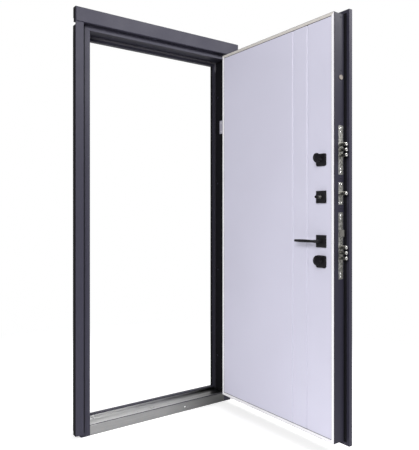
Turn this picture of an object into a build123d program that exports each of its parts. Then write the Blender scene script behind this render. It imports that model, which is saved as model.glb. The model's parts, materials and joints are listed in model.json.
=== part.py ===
from build123d import *
from math import cos, radians, sin
import os

os.makedirs("parts", exist_ok=True)

# Steel entrance door with its frame, standing open. X runs to the right as seen from outside,
# Y into the building and Z up. Y = 0 is the outer face of the wall. The origin is on the face
# of the top casing that lies on the wall, at the middle of its width and height. Plan sizes of
# the leaf are given as if it were shut, and the leaf planes turn them about the hinge line.

# Overall size
frame_width = 980.0
frame_height = 2050.0
open_angle = 90.0

# Casing round the outside of the frame
side_casing_width = 41.0
top_casing_height = 70.0
casing_depth = 30.0
top_casing_depth = 34.0
casing_sheet = 2.5
casing_notch = 16.0
casing_foot = 22.0
casing_bevel = 3.0

# Frame profile
face_width = 42.0
face_proud = 5.0
rebate_depth = 79.0
stop_width = 22.0
stop_depth = 24.0
head_gap_above = 20.0
jamb_gap = 37.0
head_face_height = 24.0
fold_radius = 2.0
stop_seal_width = 9.0
stop_seal_depth = 3.0
anchor_radius = 6.0
anchor_heights = (250.0, 750.0, 1250.0, 1750.0)

# Sill
sill_height = 54.0
sill_stop_height = 16.0
sill_plate = 2.0
sill_joint = 6.0
sill_edge_radius = 1.0

# Leaf
hinge_gap = 8.0
lock_gap = 8.0
head_gap = 5.0
sill_gap = 14.0
skin_thickness = 22.0
skin_overlap = 22.0
skin_clearance = 5.0
skin_radius = 4.0
seal_channel = 10.0
channel_depth = 12.0
leaf_seal_inset = 2.0
body_thickness = 58.0
trim_width = 14.0
trim_thickness = 8.0
trim_radius = 1.5
panel_setback = 1.5
groove_width = 12.0
groove_bottom = 4.0
groove_depth = 3.5
edge_bevel = 1.5
groove_1_from_lock = 158.0
groove_2_from_lock = 250.0

# Hinges
hinge_line_offset = 34.0
hinge_line_proud = 28.0
knuckle_radius = 10.0
knuckle_height = 60.0
knuckle_gap = 1.0
knuckle_end = 1.5
knuckle_web = 12.0
hinge_pin_radius = 4.0
hinge_pin_clearance = 0.08
hinge_lug_width = 14.0
hinge_window = 6.0
hinge_heights = (300.0, 1000.0, 1700.0)

# Light plate in the hinge jamb
jamb_plate_height = 1573.0
jamb_plate_length = 76.0
jamb_plate_width = 30.0
jamb_plate_thickness = 3.0
jamb_plate_y = 21.0

# Lock edge
lock_line_depth = 20.0
faceplate_width = 30.0
faceplate_thickness = 3.0
backset = 70.0
bolt_radius = 8.0
bolt_throw = 32.0
bolt_clearance = 0.5
bolt_spacing = 23.5
bolt_inner_length = 20.0
carriage_thickness = 8.0
carriage_width = 16.0
carriage_end = 12.0
case_depth = 92.0
case_width = 18.0
case_end = 12.0
latch_length = 30.0
latch_width = 14.0
latch_throw = 14.0
latch_inner_length = 20.0
plug_length = 22.0
plug_width = 24.0
plug_thickness = 2.0
plug_height = 1671.0

# Heights of the three locks: the night lock stands on the main one, the upper lock above both
main_plate_height = 930.0
main_plate_length = 294.0
night_plate_length = 98.0
upper_plate_length = 216.0
plate_spacing = 34.0
main_bolts_below = 30.0
latch_above = 55.0
lever_above = 19.0
main_turn_below = 72.0
night_turn_below = 14.0
upper_turn_below = 40.0

# Handles and turns
rosette_size = 55.0
rosette_thickness = 9.0
rosette_corner = 8.0
rosette_bevel = 1.0
running_gap = 0.5
spindle_radius = 4.0
spindle_clearance = 0.5
lever_length = 128.0
lever_bar = 12.0
lever_thickness = 9.0
lever_tip = 7.0
lever_neck_radius = 9.0
lever_standoff = 38.0
lever_edge = 1.6
turn_radius = 32.0
turn_thickness = 8.0
turn_neck_radius = 9.0
turn_neck = 9.0
turn_tilt = -38.0
turn_edge = 1.2
knob_radius = 7.0
knob_length = 16.0
knob_tip_radius = 5.5
knob_tip_length = 12.0
cylinder_radius = 8.5
cylinder_tail_width = 10.0
cylinder_tail = 21.0
cylinder_proud = 1.5
keyway_width = 2.5
keyway_length = 9.0
keyway_depth = 5.0

# Strikes in the lock jamb
strike_width = 30.0
strike_thickness = 3.0
strike_clearance = 3.0
pocket_depth = 34.0

# Worked out from the sizes above
half_width = frame_width / 2
wall_face_height = top_casing_height - head_gap_above
floor_z = wall_face_height / 2 - frame_height
frame_outer = half_width - jamb_gap
casing_inner = half_width - side_casing_width
reveal = casing_inner - face_width
stop_edge = reveal - stop_width
face_y = -face_proud
stop_y = face_y + rebate_depth
frame_back_y = stop_y + stop_depth
top_casing_bottom = frame_height - top_casing_height
head_reveal = top_casing_bottom - head_face_height
head_stop = head_reveal - stop_width
head_outer = top_casing_bottom + head_gap_above
sill_top = sill_height + sill_stop_height

lock_edge = -reveal + lock_gap
hinge_edge = reveal - hinge_gap
leaf_bottom = sill_height + sill_gap
leaf_top = head_reveal - head_gap
leaf_height = leaf_top - leaf_bottom
leaf_width = hinge_edge - lock_edge
leaf_middle = (hinge_edge + lock_edge) / 2
skin_back_y = face_y - skin_clearance
skin_front_y = skin_back_y - skin_thickness
body_front_y = skin_back_y + seal_channel
body_back_y = body_front_y + body_thickness
inner_face_y = body_back_y + trim_thickness
skin_hinge_end = hinge_edge + skin_overlap
skin_lock_end = lock_edge - skin_overlap
axis_x = reveal + hinge_line_offset
axis_y = -hinge_line_proud
lock_y = body_front_y + lock_line_depth
web_front_y = skin_front_y + skin_radius
web_back_y = skin_back_y - skin_radius
spindle_x = lock_edge + backset
anchor_y = (lock_y + strike_width / 2 + stop_y) / 2
panel_lock = lock_edge + trim_width
panel_hinge = hinge_edge - trim_width
panel_bottom = leaf_bottom + trim_width
panel_top = leaf_top - trim_width
panel_face_y = inner_face_y - panel_setback
main_plate_top = main_plate_height + main_plate_length / 2
night_plate_height = main_plate_top + plate_spacing + night_plate_length / 2
night_plate_top = night_plate_height + night_plate_length / 2
upper_plate_height = night_plate_top + plate_spacing + upper_plate_length / 2
latch_height = main_plate_height + latch_above
lever_height = main_plate_height + lever_above
lower_turn_height = main_plate_height - main_turn_below
night_turn_height = night_plate_height - night_turn_below
upper_turn_height = upper_plate_height - upper_turn_below
hinge_window_x = axis_x + knuckle_radius + hinge_window
turn_heights = (lower_turn_height, night_turn_height, upper_turn_height)


def level(height):
    """Horizontal plane at a height above the floor."""
    return Plane.XY.offset(floor_z + height)


def swing(x, y, height):
    """Point of the leaf, given as if shut, turned about the hinge line to where it stands."""
    turn = radians(open_angle)
    dx, dy = x - axis_x, y - axis_y
    across = axis_x + dx * cos(turn) - dy * sin(turn)
    along = axis_y + dx * sin(turn) + dy * cos(turn)
    return (across, along, floor_z + height)


def leaf_plane(point, x_dir, z_dir):
    """Plane through a leaf point, with its directions turned as the leaf is."""
    turn = radians(open_angle)

    def turned(v):
        return (v[0] * cos(turn) - v[1] * sin(turn), v[0] * sin(turn) + v[1] * cos(turn), v[2])

    return Plane(origin=swing(*point), x_dir=turned(x_dir), z_dir=turned(z_dir))


def leaf_level(height):
    """Plan plane of the leaf: its own x and y are those of the shut leaf."""
    return leaf_plane((0, 0, height), (1, 0, 0), (0, 0, 1))


def leaf_front(y):
    """Upright plane along the leaf, looking in from outside; its y is the height."""
    return leaf_plane((0, y, 0), (1, 0, 0), (0, -1, 0))


def leaf_back(y):
    """Upright plane along the leaf, looking out from inside; its x runs towards the lock."""
    return leaf_plane((0, y, 0), (-1, 0, 0), (0, 1, 0))


def leaf_side(x):
    """Upright plane across the leaf, seen from the lock side; its x runs inwards."""
    return leaf_plane((x, 0, 0), (0, -1, 0), (-1, 0, 0))


def save(piece, name):
    piece.part.label = name
    export_step(piece.part, f"parts/{name}.step")


def box_between(x0, x1, y0, y1, mode=Mode.ADD):
    """Rectangle in the current sketch, given by its sides."""
    with Locations(((x0 + x1) / 2, (y0 + y1) / 2)):
        Rectangle(x1 - x0, y1 - y0, mode=mode)


locks = {
    "upper": (upper_plate_height, upper_plate_length),
    "night": (night_plate_height, night_plate_length),
    "main": (main_plate_height, main_plate_length),
}
bolt_rows = {
    "upper": [upper_plate_height + step * bolt_spacing for step in (-1, 0, 1)],
    "night": [night_plate_height],
    "main": [main_plate_height - main_bolts_below + step * bolt_spacing for step in (-1, 0, 1)],
}


def groove_points(inset, face_y_value, inward):
    """Plan of a groove with sloping sides; inset is from the lock edge, inward is its depth."""
    middle = lock_edge + inset
    return [
        (middle - groove_width / 2, face_y_value),
        (middle - groove_bottom / 2, face_y_value + inward),
        (middle + groove_bottom / 2, face_y_value + inward),
        (middle + groove_width / 2, face_y_value),
    ]


# Frame: jambs, head and sill, one rebated profile all round
def jamb(side):
    """Upright of the frame; side is -1 for the lock side and 1 for the hinge side."""
    with BuildPart() as upright:
        with BuildSketch(level(0)):
            with BuildLine():
                Polyline(
                    (side * frame_outer, face_y),
                    (side * reveal, face_y),
                    (side * reveal, stop_y),
                    (side * stop_edge, stop_y),
                    (side * stop_edge, frame_back_y),
                    (side * frame_outer, frame_back_y),
                    close=True,
                )
            make_face()
        extrude(amount=head_reveal)
        towards_opening = Axis((0, 0, 0), (-side, 0, 0))
        edge_rows = upright.edges().filter_by(Axis.Z).group_by(Axis.Y)
        fillet([row.sort_by(towards_opening)[-1] for row in edge_rows], fold_radius)
        with BuildSketch(Plane.YZ.offset(side * reveal)):
            with Locations([(anchor_y, floor_z + height) for height in anchor_heights]):
                Circle(anchor_radius)
        extrude(amount=side * face_width * 2, mode=Mode.SUBTRACT)
    return upright


with BuildPart() as lock_jamb:
    add(jamb(-1).part)
    for height, length in locks.values():
        with BuildSketch(Plane.YZ.offset(-reveal)):
            with Locations((lock_y, floor_z + height)):
                Rectangle(strike_width, length)
        extrude(amount=-strike_thickness, mode=Mode.SUBTRACT)
        with BuildSketch(Plane.YZ.offset(-reveal)):
            with Locations((lock_y, floor_z + height)):
                Rectangle(strike_width - 2 * strike_clearance, length - 2 * case_end)
        extrude(amount=-pocket_depth, mode=Mode.SUBTRACT)
save(lock_jamb, "lock_jamb")

with BuildPart() as hinge_jamb:
    add(jamb(1).part)
    with BuildSketch(Plane.YZ.offset(reveal)):
        with Locations((jamb_plate_y, floor_z + jamb_plate_height)):
            Rectangle(jamb_plate_width, jamb_plate_length)
    extrude(amount=jamb_plate_thickness, mode=Mode.SUBTRACT)
save(hinge_jamb, "hinge_jamb")

with BuildPart() as head:
    with BuildSketch(Plane.YZ.offset(-frame_outer)):
        with BuildLine():
            Polyline(
                (face_y, floor_z + head_outer),
                (face_y, floor_z + head_reveal),
                (stop_y, floor_z + head_reveal),
                (stop_y, floor_z + head_stop),
                (frame_back_y, floor_z + head_stop),
                (frame_back_y, floor_z + head_outer),
                close=True,
            )
        make_face()
    extrude(amount=2 * frame_outer)
    with BuildSketch(level(head_stop)):
        for side in (-1, 1):
            box_between(*sorted((side * frame_outer, side * stop_edge)), face_y, frame_back_y)
    extrude(amount=stop_width, mode=Mode.SUBTRACT)
save(head, "head")

with BuildPart() as sill:
    with BuildSketch(Plane.YZ.offset(-reveal)):
        with BuildLine():
            Polyline(
                (face_y + sill_plate, floor_z),
                (face_y + sill_plate, floor_z + sill_height - sill_plate),
                (stop_y, floor_z + sill_height - sill_plate),
                (stop_y, floor_z + sill_top),
                (frame_back_y, floor_z + sill_top),
                (frame_back_y, floor_z),
                close=True,
            )
        make_face()
    extrude(amount=2 * reveal)
    with BuildSketch(level(0)):
        for side in (-1, 1):
            box_between(*sorted((side * reveal, side * stop_edge)), stop_y, frame_back_y)
    extrude(amount=sill_top, mode=Mode.SUBTRACT)
save(sill, "sill")

with BuildPart() as sill_front_plate:
    with BuildSketch(Plane.XZ.offset(-face_y - sill_plate)):
        box_between(-reveal, reveal, floor_z, floor_z + sill_height - sill_joint)
    extrude(amount=sill_plate)
    front_edges = sill_front_plate.faces().sort_by(Axis.Y)[0].edges()
    fillet(front_edges.filter_by(Axis.X).sort_by(Axis.Z)[-1], sill_edge_radius)
save(sill_front_plate, "sill_front_plate")

with BuildPart() as sill_tread:
    with BuildSketch(level(sill_height - sill_plate)):
        box_between(-reveal, reveal, face_y, stop_y)
    extrude(amount=sill_plate)
save(sill_tread, "sill_tread")


# Casing: strips folded from sheet. The outer leg stands on the wall, the inner one on the frame
def side_casing(side):
    """Upright casing, which ends short of the floor; side is -1 for the lock side, 1 for the hinge."""
    outer = side * half_width
    outer_leg = side * (half_width - casing_sheet)
    inner = side * casing_inner
    inner_leg = side * (casing_inner + casing_sheet)
    front = -casing_depth
    with BuildPart() as casing:
        with BuildSketch(level(casing_foot)):
            with BuildLine():
                Polyline(
                    (outer, 0),
                    (outer, front),
                    (inner, front),
                    (inner, face_y),
                    (inner_leg, face_y),
                    (inner_leg, front + casing_sheet),
                    (outer_leg, front + casing_sheet),
                    (outer_leg, 0),
                    close=True,
                )
            make_face()
        extrude(amount=top_casing_bottom - casing_foot)
        fillet(casing.edges().filter_by(Axis.Z).group_by(Axis.Y)[0], fold_radius)
        with BuildSketch(level(top_casing_bottom - casing_notch)):
            box_between(*sorted((outer, outer_leg)), front + casing_sheet, 0)
        extrude(amount=casing_notch, mode=Mode.SUBTRACT)
    return casing


save(side_casing(-1), "lock_casing")

# On the hinge side the casing is cut out round each hinge
with BuildPart() as hinge_casing:
    add(side_casing(1).part)
    window_height = 2 * knuckle_height + knuckle_gap + 2 * hinge_window
    for height in hinge_heights:
        with BuildSketch(level(height - knuckle_height - hinge_window)):
            box_between(casing_inner, hinge_window_x, -casing_depth, face_y)
        extrude(amount=window_height, mode=Mode.SUBTRACT)
save(hinge_casing, "hinge_casing")

with BuildPart() as top_casing:
    with BuildSketch(Plane.YZ.offset(-half_width)):
        with BuildLine():
            Polyline(
                (0, floor_z + frame_height),
                (-top_casing_depth, floor_z + frame_height),
                (-top_casing_depth, floor_z + top_casing_bottom),
                (face_y, floor_z + top_casing_bottom),
                (face_y, floor_z + head_outer),
                (0, floor_z + head_outer),
                close=True,
            )
        make_face()
    extrude(amount=frame_width)
    chamfer(top_casing.faces().sort_by(Axis.Y)[0].edges(), casing_bevel)
save(top_casing, "top_casing")

# Rubber seal in the corner of the rebate, all round
with BuildPart() as frame_seal:
    with BuildSketch(Plane.XZ.offset(-stop_y)):
        seal_bottom = floor_z + sill_height
        seal_top = floor_z + head_reveal
        box_between(-reveal, reveal, seal_bottom, seal_top)
        box_between(-reveal + stop_seal_width, reveal - stop_seal_width,
                    seal_bottom + stop_seal_width, seal_top - stop_seal_width, Mode.SUBTRACT)
    extrude(amount=stop_seal_depth)
    chamfer(frame_seal.faces().sort_by(Axis.Y)[0].inner_wires()[0].edges(), edge_bevel)
save(frame_seal, "frame_seal")

# Strike plates let into the lock jamb
for name, (height, length) in locks.items():
    with BuildPart() as strike:
        with BuildSketch(Plane.YZ.offset(-reveal - strike_thickness)):
            with Locations((lock_y, floor_z + height)):
                Rectangle(strike_width, length)
            with Locations([(lock_y, floor_z + row) for row in bolt_rows[name]]):
                Circle(bolt_radius + strike_clearance, mode=Mode.SUBTRACT)
            if name == "main":
                with Locations((lock_y, floor_z + latch_height)):
                    Rectangle(latch_width + 2 * strike_clearance,
                              latch_length + 2 * strike_clearance, mode=Mode.SUBTRACT)
        extrude(amount=strike_thickness)
    save(strike, f"{name}_strike")

with BuildPart() as jamb_plate:
    with BuildSketch(Plane.YZ.offset(reveal)):
        with Locations((jamb_plate_y, floor_z + jamb_plate_height)):
            Rectangle(jamb_plate_width, jamb_plate_length)
    extrude(amount=jamb_plate_thickness)
save(jamb_plate, "jamb_plate")

# Hinges: the frame carries the lower knuckle and the pin of each pair, the leaf the upper one
with BuildPart() as frame_knuckles:
    for height in hinge_heights:
        with BuildSketch(level(height - knuckle_height)):
            with Locations((axis_x, axis_y)):
                Circle(knuckle_radius)
        extrude(amount=knuckle_height)
    for height in hinge_heights:
        with BuildSketch(level(height - knuckle_height + knuckle_end)):
            box_between(axis_x - hinge_lug_width / 2, axis_x + hinge_lug_width / 2, axis_y, face_y)
        extrude(amount=knuckle_height - 2 * knuckle_end)
        with BuildSketch(level(height)):
            with Locations((axis_x, axis_y)):
                Circle(hinge_pin_radius)
        extrude(amount=knuckle_gap + knuckle_height / 2)
save(frame_knuckles, "frame_hinge_knuckles")

with BuildPart() as leaf_knuckles:
    for height in hinge_heights:
        with BuildSketch(leaf_level(height + knuckle_gap)):
            with Locations((axis_x, axis_y)):
                Circle(knuckle_radius)
        extrude(amount=knuckle_height)
    for height in hinge_heights:
        with BuildSketch(leaf_level(height + knuckle_gap + knuckle_end)):
            with BuildLine():
                Polyline(
                    (skin_hinge_end, web_front_y),
                    (skin_hinge_end, web_back_y),
                    (axis_x, axis_y + knuckle_web / 2),
                    (axis_x, axis_y - knuckle_web / 2),
                    close=True,
                )
            make_face()
        extrude(amount=knuckle_height - 2 * knuckle_end)
        with BuildSketch(leaf_level(height + knuckle_gap)):
            with Locations((axis_x, axis_y)):
                Circle(hinge_pin_radius + hinge_pin_clearance)
        extrude(amount=knuckle_height / 2 + knuckle_gap, mode=Mode.SUBTRACT)
save(leaf_knuckles, "leaf_hinge_knuckles")

# Leaf: a steel body with a lock case behind each faceplate and a channel round its outer face
leaf_centre_height = leaf_bottom + leaf_height / 2
with BuildPart() as leaf_body:
    with BuildSketch(leaf_level(leaf_bottom)):
        box_between(lock_edge, hinge_edge, body_front_y, body_back_y)
    extrude(amount=leaf_height)
    chamfer(leaf_body.edges().filter_by(Axis.Z), edge_bevel)
    with BuildSketch(leaf_front(body_front_y)):
        with Locations((leaf_middle, leaf_centre_height)):
            Rectangle(leaf_width - 2 * channel_depth, leaf_height - 2 * channel_depth)
    extrude(amount=seal_channel)
    for height, length in locks.values():
        with BuildSketch(leaf_side(lock_edge)):
            with Locations((-lock_y, height)):
                Rectangle(faceplate_width, length)
        extrude(amount=-faceplate_thickness, mode=Mode.SUBTRACT)
        with BuildSketch(leaf_side(lock_edge)):
            with Locations((-lock_y, height)):
                Rectangle(case_width, length - 2 * case_end)
        extrude(amount=-case_depth, mode=Mode.SUBTRACT)
    with BuildSketch(leaf_back(body_back_y)):
        with Locations([(-spindle_x, height) for height in turn_heights]):
            Circle(spindle_radius + spindle_clearance)
    extrude(amount=lock_y - body_back_y, mode=Mode.SUBTRACT)
    with BuildSketch(leaf_back(body_back_y)):
        with Locations((-spindle_x, lever_height)):
            Circle(spindle_radius + spindle_clearance)
    extrude(amount=skin_back_y - body_back_y, mode=Mode.SUBTRACT)
save(leaf_body, "leaf_body")

with BuildPart() as outer_skin:
    with BuildSketch(leaf_front(skin_back_y)):
        with Locations(((skin_lock_end + skin_hinge_end) / 2, leaf_centre_height)):
            Rectangle(leaf_width + 2 * skin_overlap, leaf_height + 2 * skin_overlap)
    extrude(amount=skin_thickness)
    front_axis = Axis(swing(0, 0, 0), leaf_front(0).z_dir)
    fillet(outer_skin.faces().sort_by(front_axis)[-1].edges(), skin_radius)
    with BuildSketch(leaf_level(leaf_bottom - skin_overlap)):
        for inset in (groove_1_from_lock, groove_2_from_lock):
            with BuildLine():
                Polyline(*groove_points(inset, skin_front_y, groove_depth), close=True)
            make_face()
    extrude(amount=leaf_height + 2 * skin_overlap, mode=Mode.SUBTRACT)
    with BuildSketch(leaf_front(skin_front_y)):
        with Locations((spindle_x, lever_height)):
            Circle(spindle_radius + spindle_clearance)
    extrude(amount=-skin_thickness, mode=Mode.SUBTRACT)
save(outer_skin, "outer_skin")

# Black seal round the leaf, in the channel between the skin and the body
with BuildPart() as leaf_seal:
    with BuildSketch(leaf_front(body_front_y)):
        with Locations((leaf_middle, leaf_centre_height)):
            Rectangle(leaf_width - 2 * leaf_seal_inset, leaf_height - 2 * leaf_seal_inset)
            Rectangle(leaf_width - 2 * channel_depth, leaf_height - 2 * channel_depth,
                      mode=Mode.SUBTRACT)
    extrude(amount=seal_channel)
save(leaf_seal, "leaf_seal")


# Inner side: mitred edging strips round a grooved panel
def trim_strip(outline):
    """Edging strip from its outline, seen from outside, as (x, height) points."""
    with BuildPart() as strip:
        with BuildSketch(leaf_back(body_back_y)):
            with BuildLine():
                Polyline(*[(-x, height) for x, height in outline], close=True)
            make_face()
        extrude(amount=trim_thickness)
        outward = Axis(swing(0, 0, 0), leaf_back(0).z_dir)
        long_edges = strip.faces().sort_by(outward)[-1].edges().sort_by(SortBy.LENGTH)[-2:]
        fillet(long_edges, trim_radius)
    return strip


outer_corners = [(lock_edge, leaf_bottom), (lock_edge, leaf_top),
                 (hinge_edge, leaf_top), (hinge_edge, leaf_bottom)]
inner_corners = [(panel_lock, panel_bottom), (panel_lock, panel_top),
                 (panel_hinge, panel_top), (panel_hinge, panel_bottom)]
for index, name in enumerate(("lock_trim", "top_trim", "hinge_trim", "bottom_trim")):
    after = (index + 1) % 4
    strip_outline = [outer_corners[index], outer_corners[after],
                     inner_corners[after], inner_corners[index]]
    save(trim_strip(strip_outline), name)

with BuildPart() as inner_panel:
    with BuildSketch(leaf_back(body_back_y)):
        box_between(-panel_hinge, -panel_lock, panel_bottom, panel_top)
    extrude(amount=panel_face_y - body_back_y)
    with BuildSketch(leaf_level(panel_bottom)):
        for inset in (groove_1_from_lock, groove_2_from_lock):
            with BuildLine():
                Polyline(*groove_points(inset, panel_face_y, -groove_depth), close=True)
            make_face()
    extrude(amount=panel_top - panel_bottom, mode=Mode.SUBTRACT)
    with BuildSketch(leaf_back(panel_face_y)):
        with Locations([(-spindle_x, height) for height in (*turn_heights, lever_height)]):
            Circle(spindle_radius + spindle_clearance)
    extrude(amount=body_back_y - panel_face_y, mode=Mode.SUBTRACT)
save(inner_panel, "inner_panel")

# Lock edge: faceplates, sliding bolts and the latch
for name, (height, length) in locks.items():
    with BuildPart() as faceplate:
        with BuildSketch(leaf_side(lock_edge + faceplate_thickness)):
            with Locations((-lock_y, height)):
                Rectangle(faceplate_width, length)
            with Locations([(-lock_y, row) for row in bolt_rows[name]]):
                Circle(bolt_radius + bolt_clearance, mode=Mode.SUBTRACT)
            if name == "main":
                with Locations((-lock_y, latch_height)):
                    Rectangle(latch_width + 2 * bolt_clearance, latch_length + 2 * bolt_clearance,
                              mode=Mode.SUBTRACT)
        extrude(amount=faceplate_thickness)
    save(faceplate, f"{name}_faceplate")

for name, rows in bolt_rows.items():
    with BuildPart() as bolts:
        with BuildSketch(leaf_side(lock_edge + bolt_inner_length)):
            with Locations([(-lock_y, row) for row in rows]):
                Circle(bolt_radius)
        extrude(amount=bolt_inner_length + bolt_throw)
        with BuildSketch(leaf_side(lock_edge + bolt_inner_length + carriage_thickness)):
            with Locations((-lock_y, sum(rows) / len(rows))):
                Rectangle(carriage_width, rows[-1] - rows[0] + 2 * carriage_end)
        extrude(amount=carriage_thickness)
    save(bolts, f"{name}_bolts" if len(rows) > 1 else f"{name}_bolt")

with BuildPart() as latch:
    with BuildSketch(leaf_level(latch_height - latch_length / 2)):
        with BuildLine():
            Polyline(
                (lock_edge + latch_inner_length, lock_y - latch_width / 2),
                (lock_edge - latch_throw, lock_y - latch_width / 2),
                (lock_edge - edge_bevel, lock_y + latch_width / 2),
                (lock_edge + latch_inner_length, lock_y + latch_width / 2),
                close=True,
            )
        make_face()
    extrude(amount=latch_length)
save(latch, "latch_bolt")

with BuildPart() as edge_plug:
    with BuildSketch(leaf_side(lock_edge)):
        with Locations((-lock_y, plug_height)):
            Ellipse(plug_width / 2, plug_length / 2)
    extrude(amount=plug_thickness)
save(edge_plug, "edge_plug")

# Rosettes, turns, knob and levers
inner_plane = leaf_back(panel_face_y)
outer_plane = leaf_front(skin_front_y)
rosette_face = rosette_thickness + running_gap


def rosette(plane, x, height, corner=0.0):
    """Plate round a spindle, square or with rounded corners, its front edge bevelled."""
    with BuildPart() as plate:
        with BuildSketch(plane):
            with Locations((x, height)):
                if corner:
                    RectangleRounded(rosette_size, rosette_size, corner)
                else:
                    Rectangle(rosette_size, rosette_size)
        extrude(amount=rosette_thickness)
        chamfer(plate.faces().sort_by(Axis(plane.origin, plane.z_dir))[-1].edges(), rosette_bevel)
        with BuildSketch(plane):
            with Locations((x, height)):
                Circle(spindle_radius + spindle_clearance)
        extrude(amount=rosette_thickness, mode=Mode.SUBTRACT)
    return plate


def key_rosette(height):
    """Rosette with a lock cylinder standing a little proud, and its keyway."""
    outward = Axis(outer_plane.origin, outer_plane.z_dir)
    with BuildPart() as plate:
        with BuildSketch(outer_plane):
            with Locations((spindle_x, height)):
                RectangleRounded(rosette_size, rosette_size, rosette_corner)
        extrude(amount=rosette_thickness)
        chamfer(plate.faces().sort_by(outward)[-1].edges(), rosette_bevel)
        with BuildSketch(outer_plane.offset(rosette_thickness)):
            with Locations((spindle_x, height)):
                Circle(cylinder_radius)
            with Locations((spindle_x, height - cylinder_tail / 2)):
                RectangleRounded(cylinder_tail_width, cylinder_tail,
                                 cylinder_tail_width / 2 - running_gap)
        extrude(amount=cylinder_proud)
        with BuildSketch(outer_plane.offset(rosette_thickness + cylinder_proud)):
            with Locations((spindle_x, height)):
                Rectangle(keyway_width, keyway_length)
        extrude(amount=-keyway_depth, mode=Mode.SUBTRACT)
    return plate


def turn_piece(height):
    """Thumb turn: a half-moon fin on a neck, with its spindle running into the lock case."""
    tilt = radians(turn_tilt)
    neck_end = panel_face_y + rosette_face + turn_neck
    fin_plane = leaf_plane((spindle_x, neck_end, height), (0, 1, 0), (cos(tilt), 0, sin(tilt)))
    with BuildPart() as turn:
        with BuildSketch(fin_plane):
            Circle(turn_radius)
            with Locations((-turn_radius / 2, 0)):
                Rectangle(turn_radius, 2 * turn_radius, mode=Mode.SUBTRACT)
        extrude(amount=turn_thickness / 2, both=True)
        chamfer(turn.edges(), turn_edge)
        with BuildSketch(leaf_back(neck_end + turn_edge)):
            with Locations((-spindle_x, height)):
                Circle(turn_neck_radius)
        extrude(amount=-turn_neck - turn_edge)
        with BuildSketch(leaf_back(lock_y)):
            with Locations((-spindle_x, height)):
                Circle(spindle_radius)
        extrude(amount=neck_end - lock_y)
    return turn


def lever_handle(side, base_y):
    """Lever on a round neck; side is 1 on the inner face and -1 on the outer one."""
    bar_y = base_y + side * lever_standoff
    bar_face_y = bar_y + side * lever_thickness
    plane = leaf_back(base_y)
    neck_x = -spindle_x
    if side < 0:
        plane = leaf_front(base_y)
        neck_x = spindle_x
    with BuildPart() as lever:
        with BuildSketch(leaf_level(lever_height - lever_bar / 2)):
            with BuildLine():
                Polyline(
                    (spindle_x - lever_neck_radius, bar_y),
                    (spindle_x - lever_neck_radius, bar_face_y),
                    (spindle_x + lever_length, bar_face_y),
                    (spindle_x + lever_length, bar_face_y - side * lever_tip),
                    (spindle_x + lever_neck_radius, bar_y),
                    close=True,
                )
            make_face()
        extrude(amount=lever_bar)
        chamfer(lever.edges(), lever_edge)
        with BuildSketch(plane.offset(rosette_face)):
            with Locations((neck_x, lever_height)):
                Circle(lever_neck_radius)
        extrude(amount=lever_standoff - rosette_face + lever_edge)
        with BuildSketch(plane):
            with Locations((neck_x, lever_height)):
                Circle(spindle_radius)
        extrude(amount=rosette_face)
    return lever


save(rosette(inner_plane, -spindle_x, upper_turn_height, rosette_corner), "upper_rosette")
save(rosette(inner_plane, -spindle_x, night_turn_height), "night_rosette")
save(rosette(inner_plane, -spindle_x, lever_height), "lever_rosette")
save(rosette(inner_plane, -spindle_x, lower_turn_height, rosette_corner), "lower_rosette")
save(rosette(outer_plane, spindle_x, lever_height), "outer_lever_rosette")
save(key_rosette(upper_turn_height), "upper_key_rosette")
save(key_rosette(lower_turn_height), "lower_key_rosette")
save(turn_piece(upper_turn_height), "upper_turn")
save(turn_piece(lower_turn_height), "lower_turn")

with BuildPart() as night_knob:
    with BuildSketch(leaf_back(lock_y)):
        with Locations((-spindle_x, night_turn_height)):
            Circle(spindle_radius)
    extrude(amount=panel_face_y + rosette_face - lock_y)
    with BuildSketch(leaf_back(panel_face_y + rosette_face)):
        with Locations((-spindle_x, night_turn_height)):
            Circle(knob_radius)
    extrude(amount=knob_length)
    with BuildSketch(leaf_back(panel_face_y + rosette_face + knob_length)):
        with Locations((-spindle_x, night_turn_height)):
            Circle(knob_tip_radius)
    extrude(amount=knob_tip_length)
save(night_knob, "night_knob")

inner_lever = lever_handle(1, panel_face_y)
with BuildPart() as inner_lever_part:
    add(inner_lever.part)
    with BuildSketch(leaf_back(panel_face_y)):
        with Locations((-spindle_x, lever_height)):
            Circle(spindle_radius)
    extrude(amount=skin_front_y - panel_face_y)
save(inner_lever_part, "inner_lever")
save(lever_handle(-1, skin_front_y), "outer_lever")
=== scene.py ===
import json
from math import cos, pi, radians, sin

import bmesh
import bpy
from mathutils import Matrix, Vector


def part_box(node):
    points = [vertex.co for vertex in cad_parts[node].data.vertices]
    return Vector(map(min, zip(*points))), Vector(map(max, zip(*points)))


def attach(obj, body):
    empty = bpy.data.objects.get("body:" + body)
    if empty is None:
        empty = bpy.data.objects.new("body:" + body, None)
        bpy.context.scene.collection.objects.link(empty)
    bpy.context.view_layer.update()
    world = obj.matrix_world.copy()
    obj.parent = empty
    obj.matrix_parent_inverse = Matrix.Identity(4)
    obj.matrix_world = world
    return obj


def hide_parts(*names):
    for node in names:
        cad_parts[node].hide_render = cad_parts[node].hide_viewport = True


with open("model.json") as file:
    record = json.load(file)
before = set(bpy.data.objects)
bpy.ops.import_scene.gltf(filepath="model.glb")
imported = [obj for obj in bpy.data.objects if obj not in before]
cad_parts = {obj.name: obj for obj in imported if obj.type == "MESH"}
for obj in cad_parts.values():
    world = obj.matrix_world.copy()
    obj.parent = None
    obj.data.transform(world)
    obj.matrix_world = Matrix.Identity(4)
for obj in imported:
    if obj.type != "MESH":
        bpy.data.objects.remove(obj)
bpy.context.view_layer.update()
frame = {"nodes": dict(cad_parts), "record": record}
nodes = frame["nodes"]
record = frame["record"]

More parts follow.
